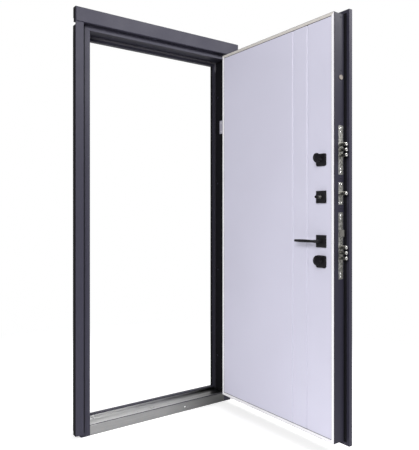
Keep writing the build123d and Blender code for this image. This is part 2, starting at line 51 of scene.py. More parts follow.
# Places taken from the CAD, in metres. The leaf stands open: its inner face looks along -X, its
# lock edge along -Y and its outer face along +X. The frame looks along -Y.
body_low, body_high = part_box("leaf_body")
skin_low, skin_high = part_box("outer_skin")
panel_low, panel_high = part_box("inner_panel")
trim_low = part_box("lock_trim")[0]
plate_low, plate_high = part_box("main_faceplate")
jamb_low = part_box("lock_jamb")[0]
casing_low, casing_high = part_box("lock_casing")
tread_low, tread_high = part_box("sill_tread")
floor_z = jamb_low.z
lock_line_x = (plate_low.x + plate_high.x) / 2
rosette_depth = 0.0095
rosette_face_x = panel_low.x - rosette_depth

# Directions in which a face can look, with the leaf open
inner_side = (-1, 0, 0)
outer_side = (1, 0, 0)
edge_side = (0, -1, 0)
hinge_jamb_side = (0, 1, 0)
upwards = (0, 0, 1)
downwards = (0, 0, -1)


def middle(node):
    """Centre of a node's box."""
    low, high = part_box(node)
    return (low + high) / 2


# Tools for meshes
def ring_points(steps, radius, z=0.0):
    """Points of a circle at height z."""
    angles = [2 * pi * i / steps for i in range(steps)]
    return [Vector((radius * cos(angle), radius * sin(angle), z)) for angle in angles]


def facing(direction, place, roll=0.0):
    """Matrix that takes local +Z to a direction at a place."""
    turn = Vector(upwards).rotation_difference(Vector(direction))
    return Matrix.Translation(place) @ turn.to_matrix().to_4x4() @ Matrix.Rotation(roll, 4, "Z")


def make_object(name, bm, material, body, smooth=True):
    """New piece from a bmesh, riding on a body and taking its finish from a slot."""
    bmesh.ops.recalc_face_normals(bm, faces=bm.faces)
    mesh = bpy.data.meshes.new(name)
    bm.to_mesh(mesh)
    bm.free()
    for polygon in mesh.polygons:
        polygon.use_smooth = smooth
    mesh.materials.append(material)
    piece = bpy.data.objects.new(name, mesh)
    bpy.context.scene.collection.objects.link(piece)
    if body:
        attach(piece, body)
    return piece


def join_rings(bm, rings):
    """Faces between rings that follow each other; a ring of one point closes the form."""
    for lower, upper in zip(rings, rings[1:]):
        steps = max(len(lower), len(upper))
        for i in range(steps):
            j = (i + 1) % steps
            if len(lower) == 1:
                bm.faces.new((lower[0], upper[i], upper[j]))
            elif len(upper) == 1:
                bm.faces.new((lower[i], lower[j], upper[0]))
            else:
                bm.faces.new((lower[i], lower[j], upper[j], upper[i]))


def add_capped_rings(bm, rings):
    """Closed form from rings that follow each other, with a flat face on each end."""
    join_rings(bm, rings)
    bm.faces.new(rings[0])
    bm.faces.new(rings[-1])


def add_lathe(bm, profile, matrix, steps=32):
    """Turned form: profile is a list of (radius, height) from its bottom to its top."""
    rings = []
    for radius, height in profile:
        points = ring_points(steps, radius, height) if radius else [Vector((0, 0, height))]
        rings.append([bm.verts.new(matrix @ point) for point in points])
    join_rings(bm, rings)


def add_slab(bm, outline, depth, matrix):
    """Flat slab from an outline in local X and Y, from z = 0 up to its depth."""
    low = [bm.verts.new(matrix @ Vector((x, y, 0))) for x, y in outline]
    high = [bm.verts.new(matrix @ Vector((x, y, depth))) for x, y in outline]
    bm.faces.new(list(reversed(low)))
    bm.faces.new(high)
    for i in range(len(outline)):
        j = (i + 1) % len(outline)
        bm.faces.new((low[i], low[j], high[j], high[i]))


def add_block(bm, low, high):
    """Block between two corners."""
    outline = [(low[0], low[1]), (high[0], low[1]), (high[0], high[1]), (low[0], high[1])]
    add_slab(bm, outline, high[2] - low[2], Matrix.Translation((0, 0, low[2])))


def add_leaf_sweep(bm, profile, path):
    """Profile swept round a loop from leaf_ring, mitred at each corner.

    A profile point is (side, out): side is away from the leaf's middle, out towards its inner side.
    """
    out = Vector(inner_side)
    rings = []
    for i, corner in enumerate(path):
        before = (corner - path[i - 1]).normalized()
        after = (path[(i + 1) % len(path)] - corner).normalized()
        mitre = (out.cross(before) + out.cross(after)).normalized()
        stretch = 1.0 / mitre.dot(out.cross(after))
        rings.append([bm.verts.new(corner + mitre * (s * stretch) + out * o) for s, o in profile])
    for i, here in enumerate(rings):
        there = rings[(i + 1) % len(rings)]
        for k in range(len(profile)):
            m = (k + 1) % len(profile)
            bm.faces.new((here[k], here[m], there[m], there[k]))


def leaf_ring(x, grow=0.0):
    """Corners of a loop round the leaf body at a place along X, grown outwards."""
    low_y, high_y = body_low.y - grow, body_high.y + grow
    low_z, high_z = body_low.z - grow, body_high.z + grow
    return [Vector((x, low_y, low_z)), Vector((x, high_y, low_z)),
            Vector((x, high_y, high_z)), Vector((x, low_y, high_z))]


def bevel(piece, width, segments=2):
    """Rounded edges through a modifier, with shading weighted to the large faces."""
    cut = piece.modifiers.new("rounded_edges", "BEVEL")
    cut.width = width
    cut.segments = segments
    cut.limit_method = "ANGLE"
    cut.angle_limit = radians(30)
    shade = piece.modifiers.new("weighted", "WEIGHTED_NORMAL")
    shade.keep_sharp = True


def soften(node_name, width, segments=2):
    """Softens the edges of a CAD node: its flat faces are merged first, then bevelled."""
    piece = nodes[node_name]
    weld = piece.modifiers.new("weld", "WELD")
    weld.merge_threshold = 1e-5
    flat = piece.modifiers.new("flat_faces", "DECIMATE")
    flat.decimate_type = "DISSOLVE"
    flat.angle_limit = radians(1)
    bevel(piece, width, segments)


# Tools for materials
relief_depth = 0.0002
paint_stray = (0.05, 0.07)
metal_stray = (0.05, 0.08)


def new_material(name, colour, roughness, metallic=0.0, specular=0.5):
    """Material with plain values on its shader, its node tree and the shader itself."""
    material = bpy.data.materials.new(name)
    material.use_nodes = True
    tree = material.node_tree
    shader = tree.nodes["Principled BSDF"]
    shader.inputs["Base Color"].default_value = (*colour, 1)
    shader.inputs["Roughness"].default_value = roughness
    shader.inputs["Metallic"].default_value = metallic
    shader.inputs["Specular IOR Level"].default_value = specular
    return material, tree, shader


def tint(colour, factor):
    """Colour made lighter or darker by a factor."""
    return tuple(min(1.0, c * factor) for c in colour)


def feed(tree, socket, value):
    """Links a node's output to a socket, or sets a plain number or colour on it."""
    if isinstance(value, bpy.types.NodeSocket):
        tree.links.new(value, socket)
    else:
        socket.default_value = value


def worked_out(tree, operation, first, second):
    """Result of an arithmetic node on two values."""
    node = tree.nodes.new("ShaderNodeMath")
    node.operation = operation
    feed(tree, node.inputs[0], first)
    feed(tree, node.inputs[1], second)
    return node.outputs[0]


def texture(tree, scale, detail, stretch=(1, 1, 1), rough=0.55):
    """Noise in the object's own coordinates, stretched along the axes."""
    place = tree.nodes.new("ShaderNodeTexCoord")
    mapping = tree.nodes.new("ShaderNodeMapping")
    mapping.inputs["Scale"].default_value = stretch
    noise = tree.nodes.new("ShaderNodeTexNoise")
    noise.inputs["Scale"].default_value = scale
    noise.inputs["Detail"].default_value = detail
    noise.inputs["Roughness"].default_value = rough
    tree.links.new(place.outputs["Object"], mapping.inputs["Vector"])
    tree.links.new(mapping.outputs["Vector"], noise.inputs["Vector"])
    return noise.outputs["Fac"]


def ramp(tree, value, low, high, low_colour, high_colour):
    """Colour between two tones as a value goes from low to high."""
    node = tree.nodes.new("ShaderNodeValToRGB")
    for stop, place, colour in zip(node.color_ramp.elements, (low, high), (low_colour, high_colour)):
        stop.position = place
        stop.color = (*colour, 1)
    tree.links.new(value, node.inputs["Fac"])
    return node.outputs["Color"]


def spread(tree, value, low, high, start=0.25, end=0.75):
    """Value between start and end spread between low and high."""
    node = tree.nodes.new("ShaderNodeMapRange")
    node.inputs["From Min"].default_value = start
    node.inputs["From Max"].default_value = end
    node.inputs["To Min"].default_value = low
    node.inputs["To Max"].default_value = high
    tree.links.new(value, node.inputs["Value"])
    return node.outputs["Result"]


def strayed(tree, value, roughness, stray):
    """Roughness that strays a little below and above its value, as a noise goes."""
    below, above = stray
    return spread(tree, value, roughness - below, roughness + above)


def mixed(tree, kind, factor, first, second):
    """Mix of two colours or two numbers, first at a factor of 0 and second at 1."""
    node = tree.nodes.new("ShaderNodeMix")
    node.data_type = kind
    inputs = [socket for socket in node.inputs if socket.enabled]
    for socket, value in zip(inputs, (factor, first, second)):
        feed(tree, socket, value)
    return next(socket for socket in node.outputs if socket.enabled)


def axis_value(tree, kind, axis):
    """One part of the object's own coordinates or normals."""
    place = tree.nodes.new("ShaderNodeTexCoord")
    parts = tree.nodes.new("ShaderNodeSeparateXYZ")
    tree.links.new(place.outputs[kind], parts.inputs["Vector"])
    return parts.outputs[axis]


def toned_along(tree, axis, start, end, tone, far_tone):
    """Tone that turns into a far tone from start to end along one of the object's own axes."""
    along = spread(tree, axis_value(tree, "Object", axis), 0.0, 1.0, start, end)
    return mixed(tree, "RGBA", along, tone, (*far_tone, 1))


def looks_along(tree, axis, start, end):
    """Rises from 0 to 1 as a face turns to look along one of the object's own axes."""
    size = tree.nodes.new("ShaderNodeMath")
    size.operation = "ABSOLUTE"
    tree.links.new(axis_value(tree, "Normal", axis), size.inputs[0])
    return spread(tree, size.outputs[0], 0.0, 1.0, start, end)


def coat(tree, shader, tone, gloss):
    """Gives the shader its tone and its gloss."""
    tree.links.new(tone, shader.inputs["Base Color"])
    tree.links.new(gloss, shader.inputs["Roughness"])


def bump(tree, shader, value, strength, distance=relief_depth):
    """Adds a layer of relief over whatever relief the shader has."""
    node = tree.nodes.new("ShaderNodeBump")
    node.inputs["Strength"].default_value = strength
    node.inputs["Distance"].default_value = distance
    socket = shader.inputs["Normal"]
    if socket.is_linked:
        tree.links.new(socket.links[0].from_socket, node.inputs["Normal"])
    tree.links.new(value, node.inputs["Height"])
    tree.links.new(node.outputs["Normal"], socket)


def powder_coat(name, colour, roughness, specular, shaded_returns=False):
    """Matt powder coat: fine orange peel, a few lighter grains and slow change of gloss.

    With the returns shaded, the faces that look sideways along X get painted shade: a far darker tone
    and a duller gloss.
    """
    material, tree, shader = new_material(name, colour, roughness, specular=specular)
    peel = texture(tree, scale=900, detail=2)
    swell = texture(tree, scale=260, detail=2)
    slow = texture(tree, scale=6, detail=3)
    tone = ramp(tree, peel, 0.38, 0.68, tint(colour, 0.86), tint(colour, 1.2))
    gloss = strayed(tree, slow, roughness, paint_stray)
    # Painted shade: faces that look sideways along X turn far darker and duller
    if shaded_returns:
        side_shade_tone = (*tint(colour, 0.1), 1)
        side_shade_roughness = 0.92
        side = looks_along(tree, "X", 0.7, 0.9)
        tone = mixed(tree, "RGBA", side, tone, side_shade_tone)
        gloss = mixed(tree, "FLOAT", side, gloss, side_shade_roughness)
    coat(tree, shader, tone, gloss)
    bump(tree, shader, peel, strength=0.25)
    bump(tree, shader, swell, strength=0.12, distance=2 * relief_depth)
    return material


def brushed_metal(name, colour, roughness, stretch, relief=0.2, shaded_end=None):
    """Metal with fine brush lines; the stretch is small along the lines and large across.

    An end given as (start, end, share) is painted shade: from start to end along X the tone falls to
    that share.
    """
    material, tree, shader = new_material(name, colour, roughness, metallic=1.0)
    lines = texture(tree, scale=120, detail=5, stretch=stretch, rough=0.7)
    slow = texture(tree, scale=9, detail=3)
    tone = ramp(tree, lines, 0.3, 0.7, tint(colour, 0.82), tint(colour, 1.1))
    # Painted shade: the tone falls along X towards one end
    if shaded_end:
        start, end, share = shaded_end
        tone = toned_along(tree, "X", start, end, tone, tint(colour, share))
    coat(tree, shader, tone, strayed(tree, slow, roughness, metal_stray))
    bump(tree, shader, lines, relief)
    return material


def plain_finish(name, colour, roughness, specular, scale, contrast, relief=0.2, stretch=(1, 1, 1),
                 top=None):
    """Grained surface: the same fine noise gives its change of tone, its gloss and its relief.

    A top is (start, end, colour): from start to end up the object the tone turns into that colour.
    """
    material, tree, shader = new_material(name, colour, roughness, specular=specular)
    grain = texture(tree, scale, detail=3, stretch=stretch)
    tone = ramp(tree, grain, 0.3, 0.7, tint(colour, 1 - contrast), tint(colour, 1 + contrast))
    if top:
        start, end, top_colour = top
        tone = toned_along(tree, "Z", start, end, tone, top_colour)
    coat(tree, shader, tone, strayed(tree, grain, roughness, paint_stray))
    bump(tree, shader, grain, relief)
    return material


# Paints
# The frame's paint carries painted shade on its faces that look sideways along X
frame_paint = powder_coat("frame_paint", (0.036, 0.0345, 0.050), roughness=0.45, specular=0.11,
                          shaded_returns=True)
leaf_paint = powder_coat("leaf_paint", (0.0275, 0.026, 0.041), roughness=0.42, specular=0.13)
edge_paint = powder_coat("edge_paint", (0.0175, 0.0165, 0.027), roughness=0.40, specular=0.12)
black_metal = powder_coat("black_metal", (0.006, 0.0055, 0.007), roughness=0.42, specular=0.16)

# Metals; the sill carries painted shade towards the hinge side, its tone falling along X
sill_brush = (0.06, 8, 8)
upright_brush = (4, 4, 0.4)
fine_brush = (4, 4, 4)
sill_steel = brushed_metal("sill_steel", (0.415, 0.415, 0.415), roughness=0.3, stretch=sill_brush,
                           shaded_end=(0.02, 0.38, 0.22))
sill_front_steel = brushed_metal("sill_front_steel", (0.265, 0.265, 0.265), roughness=0.3,
                                 stretch=sill_brush, shaded_end=(0.02, 0.38, 0.3))
latch_steel = brushed_metal("latch_steel", (0.11, 0.106, 0.10), roughness=0.38, stretch=upright_brush,
                            relief=0.1)
bolt_steel = brushed_metal("bolt_steel", (0.21, 0.205, 0.185), roughness=0.24, stretch=(4, 0.4, 4),
                           relief=0.08)
bright_steel = brushed_metal("bright_steel", (0.92, 0.91, 0.89), roughness=0.25, stretch=fine_brush,
                             relief=0.08)
turned_steel = brushed_metal("turned_steel", (0.50, 0.49, 0.48), roughness=0.3, stretch=fine_brush,
                             relief=0.08)
jamb_plate_steel = brushed_metal("jamb_plate_steel", (0.36, 0.35, 0.42), roughness=0.4,
                                 stretch=(5, 5, 0.4))

# Rubber, plastic and edging; the frame's rubber has painted light across the head, a paler length up
# there
painted_head_light = (-0.13, -0.11, (0.11, 0.107, 0.122))
upright_grain = (1, 1, 0.2)
seal_rubber = plain_finish("seal_rubber", (0.009, 0.009, 0.010), roughness=0.9, specular=0.03,
                           scale=500, contrast=0.35, relief=0.3)
# Painted light: the frame's rubber turns paler at the head's height
frame_rubber = plain_finish("frame_rubber", (0.024, 0.023, 0.029), roughness=0.8, specular=0.08,
                            scale=500, contrast=0.25, relief=0.3, top=painted_head_light)
# Painted shade for hollows: screw crosses, holes, bolt centres and keyways are dark marks put in place
# of hollows
recess_shade = plain_finish("recess_shade", (0.005, 0.005, 0.006), roughness=0.85, specular=0.1,
                           scale=300, contrast=0.2)
dark_edge = plain_finish("dark_edge", (0.020, 0.018, 0.026), roughness=0.6, specular=0.2,
                         scale=400, contrast=0.2)
edge_trim = plain_finish("edge_trim", (0.86, 0.85, 0.88), roughness=0.42, specular=0.4,
                         scale=400, contrast=0.035, relief=0.1, stretch=upright_grain)
edge_trim_top = plain_finish("edge_trim_top", (0.60, 0.57, 0.54), roughness=0.42, specular=0.4,
                             scale=400, contrast=0.035, relief=0.1, stretch=upright_grain)
plug_plastic = plain_finish("plug_plastic", (0.15, 0.125, 0.11), roughness=0.5, specular=0.5,
                            scale=350, contrast=0.12)

# Nickel plate with cast pits: a coarse noise sinks spots and makes some darker and some lighter, partly
# the pits and partly painted reflections and shade
plate_colour = (0.30, 0.298, 0.28)
plate_steel, tree, shader = new_material("plate_steel", plate_colour, roughness=0.38, metallic=1.0)
pits_and_painted_sheen = texture(tree, scale=170, detail=4, stretch=(1, 1, 0.6), rough=0.62)
tone = ramp(tree, pits_and_painted_sheen, 0.4, 0.6, tint(plate_colour, 0.42), tint(plate_colour, 1.3))
coat(tree, shader, tone, spread(tree, pits_and_painted_sheen, 0.5, 0.3))
bump(tree, shader, pits_and_painted_sheen, strength=0.55, distance=3 * relief_depth)

# Laminate panel: a slow drift of tone, a fine upright grain, and painted shade on the slopes of the
# milled grooves
panel_colour = (0.615, 0.605, 0.725)
panel_laminate, tree, shader = new_material("panel_laminate", panel_colour, roughness=0.5, specular=0.4)
grain = texture(tree, scale=700, detail=3, stretch=(1, 1, 0.25))
drift = texture(tree, scale=1.6, detail=2)
tone = ramp(tree, drift, 0.3, 0.7, tint(panel_colour, 0.97), tint(panel_colour, 1.03))
# Painted shade: faces that look along Y, the grooves' slopes, are darker
groove_painted_shade = (*tint(panel_colour, 0.86), 1)
tone = mixed(tree, "RGBA", looks_along(tree, "Y", 0.1, 0.5), tone, groove_painted_shade)
coat(tree, shader, tone, spread(tree, grain, 0.44, 0.56))
bump(tree, shader, grain, strength=0.12)

# Finishes of the CAD nodes: by slot, and for some nodes their own
finishes = {
    "frame_paint": frame_paint, "leaf_paint": leaf_paint, "sill_steel": sill_steel,
    "seal_rubber": seal_rubber, "plate_steel": plate_steel, "bolt_steel": bolt_steel,
    "panel_laminate": panel_laminate, "edge_trim": edge_trim, "black_metal": black_metal,
    "plug_plastic": plug_plastic,
}
own_finishes = {
    "leaf_body": edge_paint, "sill_front_plate": sill_front_steel, "top_trim": edge_trim_top,
    "latch_bolt": latch_steel, "jamb_plate": jamb_plate_steel, "frame_seal": frame_rubber,
}
for subpart in record["subparts"]:
    piece = nodes[subpart["node"]]
    material = own_finishes.get(subpart["node"], finishes[subpart["material_slot"]])
    if not piece.material_slots:
        piece.data.materials.append(material)
    for place in piece.material_slots:
        place.material = material

# Edges of the CAD nodes: sharper on sheet metal and panels, rounder on cast and turned pieces
sheet_edge = 0.0006
cast_edge = 0.001
for name in ("inner_panel", "lock_trim", "hinge_trim", "top_trim", "bottom_trim", "leaf_body",
             "head", "sill", "sill_tread", "jamb_plate", "upper_faceplate", "night_faceplate",
             "main_faceplate", "upper_strike", "night_strike", "main_strike"):
    soften(name, sheet_edge)
for name in ("upper_rosette", "night_rosette", "lever_rosette", "lower_rosette", "outer_lever_rosette",
             "frame_hinge_knuckles", "leaf_hinge_knuckles", "upper_bolts", "night_bolt", "main_bolts",
             "latch_bolt"):
    soften(name, cast_edge, segments=3)


# Screws with a cross recess, drawn as a dark cross of painted shade on the head
def cross_outline(arm, width):
    """Outline of a cross with arms of a length and a width."""
    a, w = arm, width / 2
    return [(a, -w), (a, w), (w, w), (w, a), (-w, a), (-w, w),
            (-a, w), (-a, -w), (-w, -w), (-w, -a), (w, -a), (w, -w)]


def screw_set(name, places, direction, radius, body):
    """Countersunk screws that look one way: one piece for the heads and one for their crosses of painted
    shade.
    """
    head = [(radius, -0.0004), (radius, 0.0001), (radius * 0.86, 0.0004), (radius * 0.4, 0.00055),
            (0, 0.0006)]
    cross_depth = 0.00066
    turn_between = 0.35
    heads, crosses = bmesh.new(), bmesh.new()
    for i, place in enumerate(places):
        matrix = facing(direction, Vector(place), turn_between * i)
        add_lathe(heads, head, matrix, steps=24)
        add_slab(crosses, cross_outline(radius * 0.5, radius * 0.2), cross_depth, matrix)
    make_object(name + "_heads", heads, bright_steel, body)
    make_object(name + "_crosses", crosses, recess_shade, body, smooth=False)


# Lock edge: screws and pressed dimples on each faceplate, in millimetres from its middle
plate_screw_radius = 0.0040
plate_screws = {
    "upper": [(0, 95), (0, 80), (0, -84), (0, -97)],
    "night": [(-6.5, 41), (6.5, 41), (-6.5, -41), (6.5, -41)],
    "main": [(0, 133), (0, 119), (0, -122), (0, -137)],
}
plate_dimples = {
    "upper": [62, 50, 39, -39, -53, -66],
    "night": [24, -26],
    "main": [104, 91, 78, 31, 21, 11, -68, -82, -96, -108],
}
dimple_shift = 3.5
dimple_profile = [(0.0036, 0.0), (0.0032, 0.0003), (0.0024, 0.0003), (0.0019, 0.0001), (0, 0.0001)]


def on_plate(name, across, up):
    """Place on a faceplate, in millimetres across and up from its middle."""
    return Vector((lock_line_x + across / 1000, plate_low.y, middle(f"{name}_faceplate").z + up / 1000))


for name, offsets in plate_screws.items():
    places = [on_plate(name, across, up) for across, up in offsets]
    screw_set(f"{name}_plate_screws", places, edge_side, plate_screw_radius, "leaf")
    # The dimples take a darker steel: painted shade in their hollows
    dimples = bmesh.new()
    for i, up in enumerate(plate_dimples[name]):
        across = (i % 3 - 1) * dimple_shift
        add_lathe(dimples, dimple_profile, facing(edge_side, on_plate(name, across, up)), steps=20)
    make_object(f"{name}_plate_dimples", dimples, latch_steel, "leaf")

# Bare holes in the edge between the faceplates, each a dark disc of painted shade with a pressed rim;
# heights above the floor
hole_heights = (1.935, 1.702, 1.473, 1.226, 1.094)
hole_profile = [(0.0032, 0.0002), (0.0029, 0.0004), (0, 0.0004)]
rim_profile = [(0.0042, 0.0), (0.004, 0.0003), (0.0033, 0.0003), (0.0031, 0.0)]
holes, rims = bmesh.new(), bmesh.new()
for height in hole_heights:
    matrix = facing(edge_side, Vector((lock_line_x, body_low.y, floor_z + height)))
    add_lathe(holes, hole_profile, matrix, steps=20)
    add_lathe(rims, rim_profile, matrix, steps=20)
make_object("edge_holes", holes, recess_shade, "leaf")
make_object("edge_hole_rims", rims, leaf_paint, "leaf")

# Bolt ends: a turned face with a centre hole drawn as a dark disc of painted shade
bolt_pitch = 0.0235
three_bolts = (-bolt_pitch, 0, bolt_pitch)
bolt_face = [(0.0072, -0.0002), (0.007, 0.0003), (0.003, 0.0003), (0.0026, 0.0), (0, 0.0)]
bolt_centre = [(0.0024, 0.0001), (0.0022, 0.0002), (0, 0.0002)]
for node, rows in (("upper_bolts", three_bolts), ("night_bolt", (0,)), ("main_bolts", three_bolts)):
    bolt_end_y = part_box(node)[0].y
    faces, centres = bmesh.new(), bmesh.new()
    for row in rows:
        matrix = facing(edge_side, Vector((lock_line_x, bolt_end_y, middle(node).z + row)))
        add_lathe(faces, bolt_face, matrix)
        add_lathe(centres, bolt_centre, matrix, steps=20)
    make_object(node + "_faces", faces, turned_steel, node)
    make_object(node + "_centres", centres, recess_shade, node)

# Oval plug: a raised rim round its edge, drawn as a circle of radius 1 and squashed to the oval
plug = bmesh.new()
plug_centre = middle("edge_plug")
plug_low, plug_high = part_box("edge_plug")
plug_profile = [(0.98, 0.0), (0.95, 0.0007), (0.84, 0.0007), (0.8, 0.0)]
squash = Matrix.Diagonal(((plug_high.x - plug_low.x) / 2, (plug_high.z - plug_low.z) / 2, 1, 1))
matrix = facing(edge_side, Vector((plug_centre.x, plug_low.y, plug_centre.z))) @ squash
add_lathe(plug, plug_profile, matrix, steps=40)
make_object("plug_rim", plug, plug_plastic, "leaf")

# Black foam seal on the inner side of the skin's overlap, beside the channel, with two low lips
seal = bmesh.new()
seal_width = 0.0065
seal_thickness = 0.003
seal_from_body = 0.001
seal_shape = [(0, 0), (0, 0.8), (0.2, 1.0), (0.42, 0.5), (0.62, 0.5), (0.82, 0.9), (1.0, 0.3), (1.0, 0)]
add_leaf_sweep(seal, [(side * seal_width, out * seal_thickness) for side, out in seal_shape],
               leaf_ring(skin_low.x, seal_from_body))
make_object("overlap_seal", seal, seal_rubber, "leaf")

# Dark band round the outer sides of the pale edging
band = bmesh.new()
band_width = body_low.x - trim_low.x
band_proud = 0.0005
band_sunk = 0.0004
sunk_end = band_width - 0.0006
proud_end = band_width - 0.0002
band_shape = [(band_proud, 0), (-band_sunk, 0), (-band_sunk, sunk_end), (0, proud_end),
              (band_proud, proud_end)]
add_leaf_sweep(band, band_shape, leaf_ring(body_low.x))
make_object("edging_band", band, dark_edge, "leaf", smooth=False)

# Thin dark line between the panel and the edging: a dark joint, fine at the sides, and wider at top and
# bottom as painted shade along the edging
dark_strip = bmesh.new()
side_line_width = 0.0009
end_line_width = 0.0022
dark_line_height = 0.0005
near, far = panel_low.x - dark_line_height, panel_low.x + dark_line_height
for y in (panel_low.y, panel_high.y - side_line_width):
    add_block(dark_strip, (near, y, panel_low.z + end_line_width), (far, y + side_line_width, panel_high.z - end_line_width))
for z in (panel_low.z, panel_high.z - end_line_width):
    add_block(dark_strip, (near, panel_low.y, z), (far, panel_high.y, z + end_line_width))
make_object("panel_shade_line", dark_strip, dark_edge, "leaf", smooth=False)

# Frame: black strip on the frame's face beside each side casing, painted shadow of the casing
dark_strip = bmesh.new()
casing_shadow_width = 0.0135
casing_shadow_proud = 0.0012
casing_shadow_sunk = 0.0002
face_y = jamb_low.y
casing_inner = abs(casing_high.x)
for side in (-1, 1):
    inner = side * casing_inner
    near, far = sorted((inner, inner - side * casing_shadow_width))
    add_block(dark_strip, (near, face_y - casing_shadow_proud, casing_low.z), (far, face_y + casing_shadow_sunk, casing_high.z))
make_object("casing_shadow_strips", dark_strip, seal_rubber, "frame", smooth=False)

# Screws in the strikes, the jamb plate and the sill's front; a pair stands its reach from the middle
strike_screw_radius = 0.0038
strike_reaches = {"upper": 0.096, "night": 0.041, "main": 0.136}
strike_places = []
for name, reach in strike_reaches.items():
    centre = middle(f"{name}_strike")
    strike_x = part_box(f"{name}_strike")[1].x
    strike_places += [(strike_x, centre.y, centre.z + side * reach) for side in (-1, 1)]
screw_set("strike_screws", strike_places, outer_side, strike_screw_radius, "frame")

jamb_screw_radius = 0.0036
jamb_screw_reach = 0.026
centre = middle("jamb_plate")
jamb_plate_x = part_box("jamb_plate")[0].x
jamb_places = [(jamb_plate_x, centre.y, centre.z + side * jamb_screw_reach) for side in (-1, 1)]
screw_set("jamb_plate_screws", jamb_places, inner_side, jamb_screw_radius, "frame")

sill_screw_radius = 0.004
sill_screw_x = 0.140
front_low, front_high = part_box("sill_front_plate")
sill_place = (sill_screw_x, front_low.y, (front_low.z + front_high.z) / 2)
screw_set("sill_front_screw", [sill_place], edge_side, sill_screw_radius, "frame")

# Steel strip that holds the seal down on the sill's stop
carrier = bmesh.new()
carrier_inset = 0.010
carrier_proud = 0.001
carrier_foot = 0.0003
carrier_top = 0.0115
carrier_edge = 0.0005
stop_seal_low, stop_seal_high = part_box("frame_seal")
add_block(carrier,
          (tread_low.x + carrier_inset, stop_seal_low.y - carrier_proud, tread_high.z + carrier_foot),
          (tread_high.x - carrier_inset, stop_seal_high.y, tread_high.z + carrier_top))
strip = make_object("seal_carrier", carrier, sill_steel, "frame", smooth=False)
bevel(strip, carrier_edge)

# Fine ribs along the tread, at shares of its depth
ribs = bmesh.new()
rib_shares = (0.16, 0.3, 0.7, 0.84)
rib_width = 0.0022
rib_height = 0.0008
rib_sunk = 0.0002
rib_inset = 0.012
rib_edge = 0.0003
for share in rib_shares:
    y = tread_low.y + share * (tread_high.y - tread_low.y)
    add_block(ribs, (tread_low.x + rib_inset, y - rib_width / 2, tread_high.z - rib_sunk),
              (tread_high.x - rib_inset, y + rib_width / 2, tread_high.z + rib_height))
bevel(make_object("tread_ribs", ribs, sill_steel, "frame", smooth=False), rib_edge)

# Hinges: a domed cap on each end of a pair, a bearing ring between, and a grub screw in the side
knuckle_low, knuckle_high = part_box("frame_hinge_knuckles")
knuckle_radius = (knuckle_high.x - knuckle_low.x) / 2
hinge_x = (knuckle_low.x + knuckle_high.x) / 2
hinge_y = knuckle_low.y + knuckle_radius
hinge_heights = (0.3, 1.0, 1.7)
upper_reach = 0.061
lower_reach = 0.060
grub_drop = 0.03
grub_direction = Vector((0.5, -0.866, 0))
cap_profile = [(r * knuckle_radius, z * knuckle_radius)
               for r, z in ((0.94, 0), (0.9, 0.08), (0.7, 0.18), (0.4, 0.25), (0, 0.28))]
bearing_profile = [(0.0045, 0.0001), (0.0088, 0.0001), (0.0088, 0.0008), (0.0045, 0.0008)]
grub_profile = [(0.0024, -0.0004), (0.0024, 0.0003), (0.0014, 0.0003), (0.0012, -0.0001), (0, -0.0001)]
upper_caps, lower_caps, bearings, grubs = bmesh.new(), bmesh.new(), bmesh.new(), bmesh.new()
for height in hinge_heights:
    place = Vector((hinge_x, hinge_y, floor_z + height))
    add_lathe(upper_caps, cap_profile, facing(upwards, place + Vector((0, 0, upper_reach))))
    add_lathe(lower_caps, cap_profile, facing(downwards, place - Vector((0, 0, lower_reach))))
    add_lathe(bearings, bearing_profile, facing(upwards, place))
    grub_place = place + grub_direction * knuckle_radius - Vector((0, 0, grub_drop))
    add_lathe(grubs, grub_profile, facing(grub_direction, grub_place), steps=20)
make_object("hinge_caps_leaf", upper_caps, leaf_paint, "leaf")
make_object("hinge_caps_frame", lower_caps, frame_paint, "frame")
make_object("hinge_bearings", bearings, bright_steel, "frame")
make_object("hinge_grub_screws", grubs, latch_steel, "frame")


# Levers: a round neck that bends into a flattened bar
def squircle(half_height, half_width, steps=24, power=0.8):
    """Points of a rounded cross-section, a little squarer than an ellipse."""
    points = []
    for i in range(steps):
        angle = 2 * pi * i / steps
        c, s = cos(angle), sin(angle)
        points.append((half_width * abs(c) ** power * (1 if c >= 0 else -1),
                       half_height * abs(s) ** power * (1 if s >= 0 else -1)))
    return points


def lever_stations():
    """Cross-sections of a lever: (depth, along, turn, half height, half width) of each.

    The neck stands out from the rosette, bends by a quarter turn and goes over into the bar.
    """
    neck = [(rosette_depth, 0.0098), (rosette_depth + 0.0015, 0.0090), (0.018, 0.0085), (0.0290, 0.0078)]
    neck_end, neck_size = neck[-1]
    bend_radius = 0.0135
    bend_steps = 8
    height_loss = 0.0018
    width_loss = 0.0033
    bar = [(0.035, 0.0064, 0.0044), (0.060, 0.0071, 0.0043), (0.090, 0.0069, 0.0041),
           (0.115, 0.0060, 0.0037), (0.1245, 0.0055, 0.0034), (0.1272, 0.0045, 0.0027),
           (0.128, 0.0026, 0.0015)]
    stations = [(depth, 0.0, 0.0, size, size) for depth, size in neck]
    for step in range(1, bend_steps + 1):
        share = step / bend_steps
        turn = pi / 2 * share
        stations.append((neck_end + bend_radius * sin(turn), bend_radius * (1 - cos(turn)), turn,
                         neck_size - height_loss * share, neck_size - width_loss * share))
    for along, half_height, half_width in bar:
        stations.append((neck_end + bend_radius, along, pi / 2, half_height, half_width))
    return stations


def lever_piece(name, node, base_x, out):
    """Lever on one face of the leaf; out is -1 on the inner face and 1 on the outer one."""
    centre = middle("lever_rosette")
    bm = bmesh.new()
    rings = []
    for depth, along, turn, half_height, half_width in lever_stations():
        ring = []
        for across, up in squircle(half_height, half_width):
            x = base_x + out * (depth + across * sin(turn))
            y = centre.y + (along - across * cos(turn))
            ring.append(bm.verts.new((x, y, centre.z + up)))
        rings.append(ring)
    add_capped_rings(bm, rings)
    piece = make_object(name, bm, black_metal, "lever")
    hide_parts(node)


lever_piece("inner_lever_bar", "inner_lever", base_x=panel_low.x, out=-1)
lever_piece("outer_lever_bar", "outer_lever", base_x=skin_high.x, out=1)


